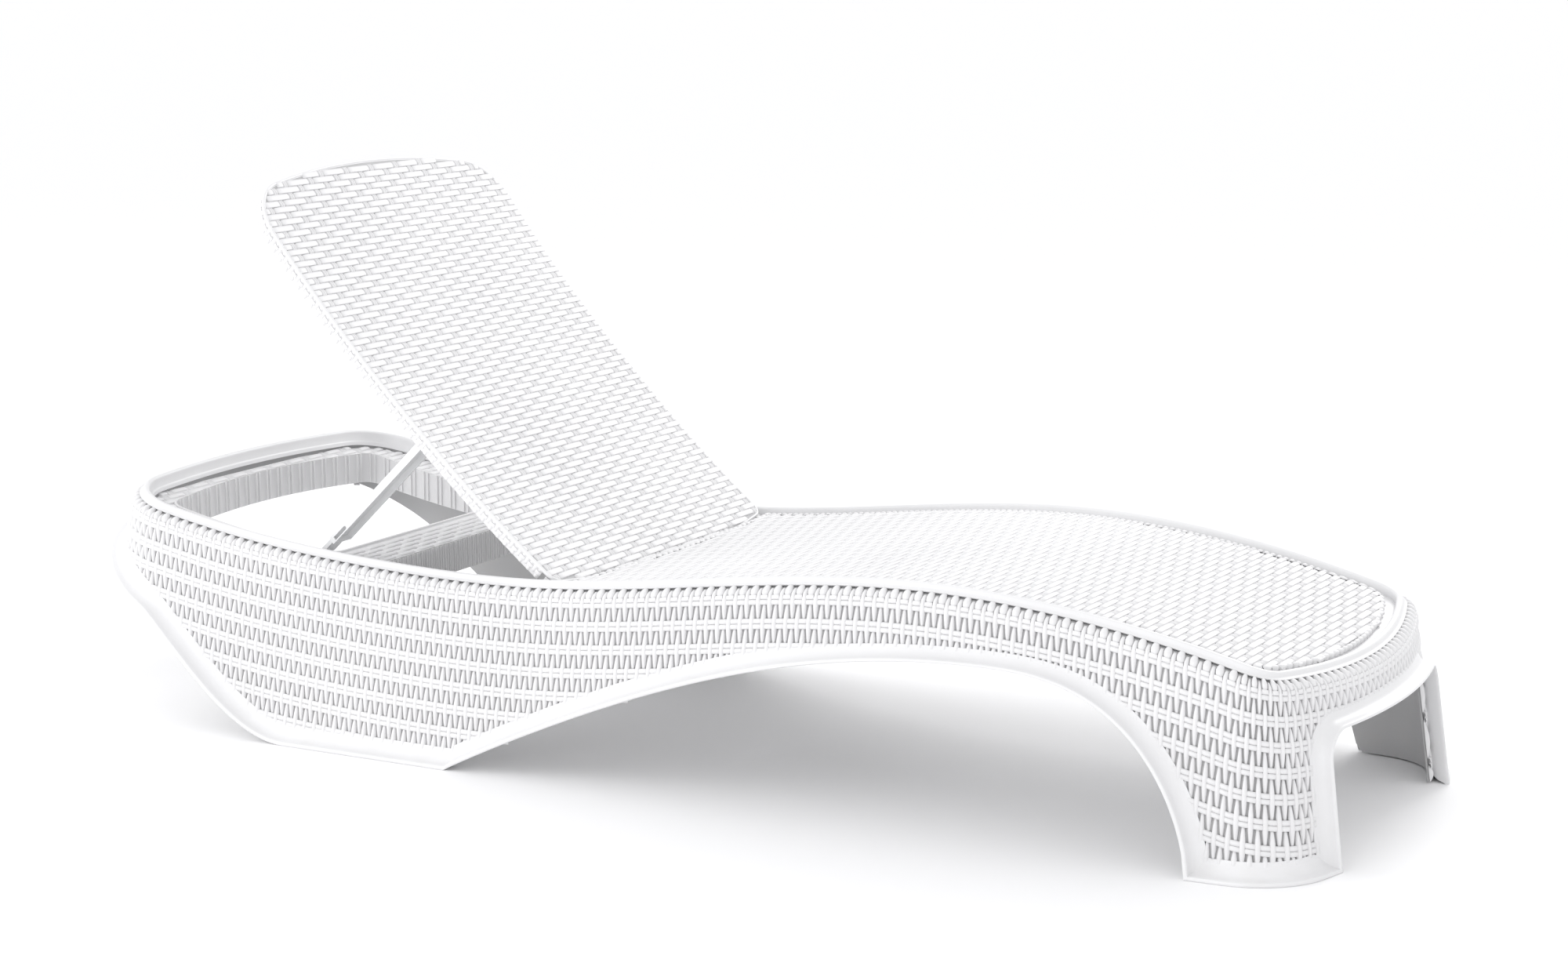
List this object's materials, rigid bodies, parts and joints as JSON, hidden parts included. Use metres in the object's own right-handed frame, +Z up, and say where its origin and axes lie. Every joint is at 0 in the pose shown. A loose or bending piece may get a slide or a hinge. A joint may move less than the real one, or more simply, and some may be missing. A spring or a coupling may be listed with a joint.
{
  "type": "reclining sun lounger",
  "caption": "Low moulded sun lounger with a woven texture: a skirted one-sweep body, a hinged backrest propped by side arms, an arched underside and a flared foot edge.",
  "frame": {"origin": "centre of the footprint, on the floor", "axes": "+X along the length towards the foot end, +Y across the width, +Z up"},
  "size_m": [1.9468, 0.787, 0.8115],
  "materials": {
    "smooth_resin": "satin",
    "woven_resin": "satin, moulded in a woven relief"
  },
  "bodies": {
    "base": {"rim_lip": "smooth_resin", "rim_inner_band": "smooth_resin", "skirt_head": "woven_resin", "skirt_side_right": "woven_resin", "skirt_side_left": "woven_resin", "leg_front_right": "woven_resin", "leg_front_left": "woven_resin", "skirt_foot": "woven_resin", "kick_lip_rear": "smooth_resin", "kick_lip_arch_right": "smooth_resin", "kick_lip_arch_left": "smooth_resin", "kick_lip_leg_right": "smooth_resin", "kick_lip_leg_left": "smooth_resin", "kick_lip_foot_arch": "smooth_resin", "ledge_head": "woven_resin", "ledge_side_right": "woven_resin", "ledge_side_left": "woven_resin", "cross_beam": "woven_resin", "well_wall": "woven_resin", "gap_wall": "woven_resin", "seat_pan": "smooth_resin", "seat_deck": "woven_resin", "seat_front_wall": "smooth_resin", "hinge_socket_right": "smooth_resin", "hinge_socket_left": "smooth_resin", "prop_rest_right": "smooth_resin", "prop_rest_left": "smooth_resin"},
    "backrest": {"back_panel": "woven_resin", "back_edge_bead": "smooth_resin", "back_side_wall": "woven_resin", "hinge_ear_right": "smooth_resin", "hinge_ear_left": "smooth_resin", "arm_lug_right": "smooth_resin", "arm_lug_left": "smooth_resin"},
    "prop_right": {"prop_arm_right": "smooth_resin"},
    "prop_left": {"prop_arm_left": "smooth_resin"}
  },
  "joints": [
    {"name": "backrest_recline", "type": "hinge", "parent": "base", "child": "backrest", "pos_m": [-0.1585, 0, 0.25312], "axis": [0, 1, 0], "range_deg": [-40.9, 12]},
    {"name": "prop_swing_right", "type": "hinge", "parent": "backrest", "child": "prop_right", "pos_m": [-0.37546, -0.264, 0.441], "axis": [0, 1, 0], "range_deg": [-27, 91]},
    {"name": "prop_swing_left", "type": "hinge", "parent": "backrest", "child": "prop_left", "pos_m": [-0.37546, 0.264, 0.441], "axis": [0, 1, 0], "range_deg": [-27, 91]}
  ],
  "couplings": [
    {"joint": "prop_swing_right", "follows": "backrest_recline", "ratio": -2.2127},
    {"joint": "prop_swing_left", "follows": "backrest_recline", "ratio": -2.2127}
  ]
}
